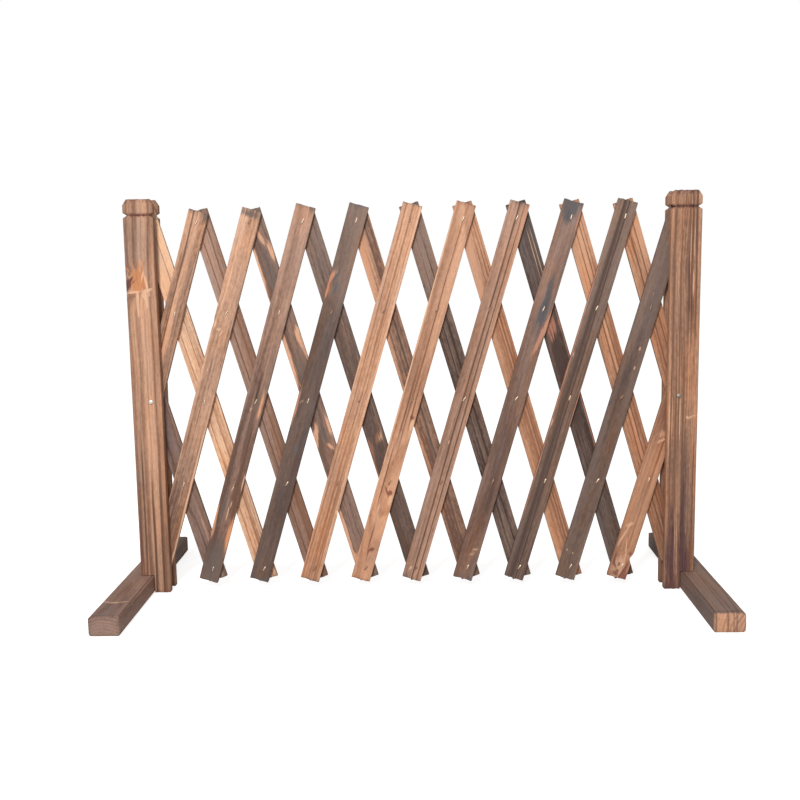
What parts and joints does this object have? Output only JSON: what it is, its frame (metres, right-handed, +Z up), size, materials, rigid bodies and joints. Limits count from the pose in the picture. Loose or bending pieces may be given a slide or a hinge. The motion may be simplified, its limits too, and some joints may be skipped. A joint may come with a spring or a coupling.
{
  "type": "expandable wooden fence",
  "caption": "Free-standing expanding lattice fence of wood: crossed slats nailed together between end stands on cross feet, opening and closing like a pantograph.",
  "frame": {"origin": "middle of the fence on the floor, midway between the feet as it stands in the picture", "axes": "+X along the fence to the right stand, +Y from its front to its back, +Z up"},
  "size_m": [0.8956, 0.416, 0.6],
  "materials": {
    "tan_slat": "matte, grooved grain",
    "pale_slat": "matte, grooved grain",
    "orange_slat": "matte, grooved grain",
    "brown_slat": "matte, grooved grain",
    "red_brown_slat": "matte, grooved grain",
    "grey_brown_slat": "matte, grooved grain",
    "dark_slat": "matte, grooved grain",
    "left_post_wood": "matte, grooved grain",
    "right_post_wood": "matte, dark grain lines",
    "foot_wood": "matte, weathered",
    "nail_steel": "bright, hammered over",
    "bolt_steel": "bright, domed"
  },
  "bodies": {
    "left_stand": {"left_foot": "foot_wood", "left_front_post": "left_post_wood", "left_rear_post": "left_post_wood", "left_pivot_bolt": "bolt_steel", "left_pivot_nut": "bolt_steel"},
    "right_stand": {"right_foot": "foot_wood", "right_front_post": "right_post_wood", "right_rear_post": "right_post_wood", "right_pivot_bolt": "bolt_steel", "right_pivot_nut": "bolt_steel"},
    "front_slat_01_set": {"front_slat_01": "orange_slat", "top_nail_1": "nail_steel"},
    "front_slat_02_set": {"front_slat_02": "tan_slat", "top_nail_2": "nail_steel", "middle_nail_1": "nail_steel"},
    "front_slat_03_set": {"front_slat_03": "red_brown_slat", "top_nail_3": "nail_steel", "middle_nail_2": "nail_steel", "bottom_nail_1": "nail_steel"},
    "front_slat_04_set": {"front_slat_04": "grey_brown_slat", "top_nail_4": "nail_steel", "middle_nail_3": "nail_steel", "bottom_nail_2": "nail_steel"},
    "front_slat_05_set": {"front_slat_05": "pale_slat", "top_nail_5": "nail_steel", "middle_nail_4": "nail_steel", "bottom_nail_3": "nail_steel"},
    "front_slat_06_set": {"front_slat_06": "pale_slat", "top_nail_6": "nail_steel", "middle_nail_5": "nail_steel", "bottom_nail_4": "nail_steel"},
    "front_slat_07_set": {"front_slat_07": "red_brown_slat", "top_nail_7": "nail_steel", "middle_nail_6": "nail_steel", "bottom_nail_5": "nail_steel"},
    "front_slat_08_set": {"front_slat_08": "dark_slat", "top_nail_8": "nail_steel", "middle_nail_7": "nail_steel", "bottom_nail_6": "nail_steel"},
    "front_slat_09_set": {"front_slat_09": "grey_brown_slat", "top_nail_9": "nail_steel", "middle_nail_8": "nail_steel", "bottom_nail_7": "nail_steel"},
    "front_slat_10_set": {"front_slat_10": "brown_slat", "middle_nail_9": "nail_steel", "bottom_nail_8": "nail_steel"},
    "front_slat_11_set": {"front_slat_11": "orange_slat", "bottom_nail_9": "nail_steel"},
    "back_slat_01_set": {"back_slat_01": "grey_brown_slat"},
    "back_slat_02_set": {"back_slat_02": "pale_slat"},
    "back_slat_03_set": {"back_slat_03": "brown_slat"},
    "back_slat_04_set": {"back_slat_04": "dark_slat"},
    "back_slat_05_set": {"back_slat_05": "brown_slat"},
    "back_slat_06_set": {"back_slat_06": "tan_slat"},
    "back_slat_07_set": {"back_slat_07": "grey_brown_slat"},
    "back_slat_08_set": {"back_slat_08": "orange_slat"},
    "back_slat_09_set": {"back_slat_09": "dark_slat"},
    "back_slat_10_set": {"back_slat_10": "orange_slat"},
    "back_slat_11_set": {"back_slat_11": "pale_slat"}
  },
  "joints": [
    {"name": "lattice_opening", "type": "hinge", "parent": "left_stand", "child": "front_slat_01_set", "pos_m": [-0.39481, 0, 0.29851], "axis": [0, 1, 0], "range_deg": [-8.88, 23.62]},
    {"name": "back_slat_01_pivot", "type": "hinge", "parent": "left_stand", "child": "back_slat_01_set", "pos_m": [-0.39481, 0, 0.29851], "axis": [0, 1, 0], "range_deg": [-23.62, 8.88]},
    {"name": "back_slat_02_pivot", "type": "hinge", "parent": "front_slat_01_set", "child": "back_slat_02_set", "pos_m": [-0.35533, 0, 0.43283], "axis": [0, 1, 0], "range_deg": [-47.24, 17.76]},
    {"name": "back_slat_03_pivot", "type": "hinge", "parent": "front_slat_01_set", "child": "back_slat_03_set", "pos_m": [-0.31585, 0, 0.56715], "axis": [0, 1, 0], "range_deg": [-47.24, 17.76]},
    {"name": "front_slat_02_pivot", "type": "hinge", "parent": "back_slat_03_set", "child": "front_slat_02_set", "pos_m": [-0.27637, 0, 0.43283], "axis": [0, 1, 0], "range_deg": [-17.76, 47.24]},
    {"name": "front_slat_03_pivot", "type": "hinge", "parent": "back_slat_03_set", "child": "front_slat_03_set", "pos_m": [-0.23689, 0, 0.29851], "axis": [0, 1, 0], "range_deg": [-17.76, 47.24]},
    {"name": "front_slat_04_pivot", "type": "hinge", "parent": "back_slat_03_set", "child": "front_slat_04_set", "pos_m": [-0.1974, 0, 0.1642], "axis": [0, 1, 0], "range_deg": [-17.76, 47.24]},
    {"name": "front_slat_05_pivot", "type": "hinge", "parent": "back_slat_03_set", "child": "front_slat_05_set", "pos_m": [-0.15792, 0, 0.02988], "axis": [0, 1, 0], "range_deg": [-17.76, 47.24]},
    {"name": "back_slat_04_pivot", "type": "hinge", "parent": "front_slat_05_set", "child": "back_slat_04_set", "pos_m": [-0.11844, 0, 0.1642], "axis": [0, 1, 0], "range_deg": [-47.24, 17.76]},
    {"name": "back_slat_05_pivot", "type": "hinge", "parent": "front_slat_05_set", "child": "back_slat_05_set", "pos_m": [-0.07896, 0, 0.29851], "axis": [0, 1, 0], "range_deg": [-47.24, 17.76]},
    {"name": "back_slat_06_pivot", "type": "hinge", "parent": "front_slat_05_set", "child": "back_slat_06_set", "pos_m": [-0.03948, 0, 0.43283], "axis": [0, 1, 0], "range_deg": [-47.24, 17.76]},
    {"name": "back_slat_07_pivot", "type": "hinge", "parent": "front_slat_05_set", "child": "back_slat_07_set", "pos_m": [0, 0, 0.56715], "axis": [0, 1, 0], "range_deg": [-47.24, 17.76]},
    {"name": "front_slat_06_pivot", "type": "hinge", "parent": "back_slat_07_set", "child": "front_slat_06_set", "pos_m": [0.03948, 0, 0.43283], "axis": [0, 1, 0], "range_deg": [-17.76, 47.24]},
    {"name": "front_slat_07_pivot", "type": "hinge", "parent": "back_slat_07_set", "child": "front_slat_07_set", "pos_m": [0.07896, 0, 0.29851], "axis": [0, 1, 0], "range_deg": [-17.76, 47.24]},
    {"name": "front_slat_08_pivot", "type": "hinge", "parent": "back_slat_07_set", "child": "front_slat_08_set", "pos_m": [0.11844, 0, 0.1642], "axis": [0, 1, 0], "range_deg": [-17.76, 47.24]},
    {"name": "front_slat_09_pivot", "type": "hinge", "parent": "back_slat_07_set", "child": "front_slat_09_set", "pos_m": [0.15792, 0, 0.02988], "axis": [0, 1, 0], "range_deg": [-17.76, 47.24]},
    {"name": "back_slat_08_pivot", "type": "hinge", "parent": "front_slat_09_set", "child": "back_slat_08_set", "pos_m": [0.1974, 0, 0.1642], "axis": [0, 1, 0], "range_deg": [-47.24, 17.76]},
    {"name": "back_slat_09_pivot", "type": "hinge", "parent": "front_slat_09_set", "child": "back_slat_09_set", "pos_m": [0.23689, 0, 0.29851], "axis": [0, 1, 0], "range_deg": [-47.24, 17.76]},
    {"name": "back_slat_10_pivot", "type": "hinge", "parent": "front_slat_09_set", "child": "back_slat_10_set", "pos_m": [0.27637, 0, 0.43283], "axis": [0, 1, 0], "range_deg": [-47.24, 17.76]},
    {"name": "back_slat_11_pivot", "type": "hinge", "parent": "front_slat_09_set", "child": "back_slat_11_set", "pos_m": [0.31585, 0, 0.56715], "axis": [0, 1, 0], "range_deg": [-47.24, 17.76]},
    {"name": "front_slat_10_pivot", "type": "hinge", "parent": "back_slat_11_set", "child": "front_slat_10_set", "pos_m": [0.35533, 0, 0.43283], "axis": [0, 1, 0], "range_deg": [-17.76, 47.24]},
    {"name": "right_stand_pivot", "type": "hinge", "parent": "back_slat_11_set", "child": "right_stand", "pos_m": [0.39481, 0, 0.29851], "axis": [0, 1, 0], "range_deg": [-8.88, 23.62]},
    {"name": "front_slat_11_pivot", "type": "hinge", "parent": "right_stand", "child": "front_slat_11_set", "pos_m": [0.39481, 0, 0.29851], "axis": [0, 1, 0], "range_deg": [-8.88, 23.62]}
  ],
  "couplings": [
    {"joint": "back_slat_01_pivot", "follows": "lattice_opening", "ratio": -1},
    {"joint": "back_slat_02_pivot", "follows": "lattice_opening", "ratio": -2},
    {"joint": "back_slat_03_pivot", "follows": "lattice_opening", "ratio": -2},
    {"joint": "front_slat_02_pivot", "follows": "lattice_opening", "ratio": 2},
    {"joint": "front_slat_03_pivot", "follows": "lattice_opening", "ratio": 2},
    {"joint": "front_slat_04_pivot", "follows": "lattice_opening", "ratio": 2},
    {"joint": "front_slat_05_pivot", "follows": "lattice_opening", "ratio": 2},
    {"joint": "back_slat_04_pivot", "follows": "lattice_opening", "ratio": -2},
    {"joint": "back_slat_05_pivot", "follows": "lattice_opening", "ratio": -2},
    {"joint": "back_slat_06_pivot", "follows": "lattice_opening", "ratio": -2},
    {"joint": "back_slat_07_pivot", "follows": "lattice_opening", "ratio": -2},
    {"joint": "front_slat_06_pivot", "follows": "lattice_opening", "ratio": 2},
    {"joint": "front_slat_07_pivot", "follows": "lattice_opening", "ratio": 2},
    {"joint": "front_slat_08_pivot", "follows": "lattice_opening", "ratio": 2},
    {"joint": "front_slat_09_pivot", "follows": "lattice_opening", "ratio": 2},
    {"joint": "back_slat_08_pivot", "follows": "lattice_opening", "ratio": -2},
    {"joint": "back_slat_09_pivot", "follows": "lattice_opening", "ratio": -2},
    {"joint": "back_slat_10_pivot", "follows": "lattice_opening", "ratio": -2},
    {"joint": "back_slat_11_pivot", "follows": "lattice_opening", "ratio": -2},
    {"joint": "front_slat_10_pivot", "follows": "lattice_opening", "ratio": 2},
    {"joint": "right_stand_pivot", "follows": "lattice_opening", "ratio": 1},
    {"joint": "front_slat_11_pivot", "follows": "lattice_opening", "ratio": 1}
  ]
}
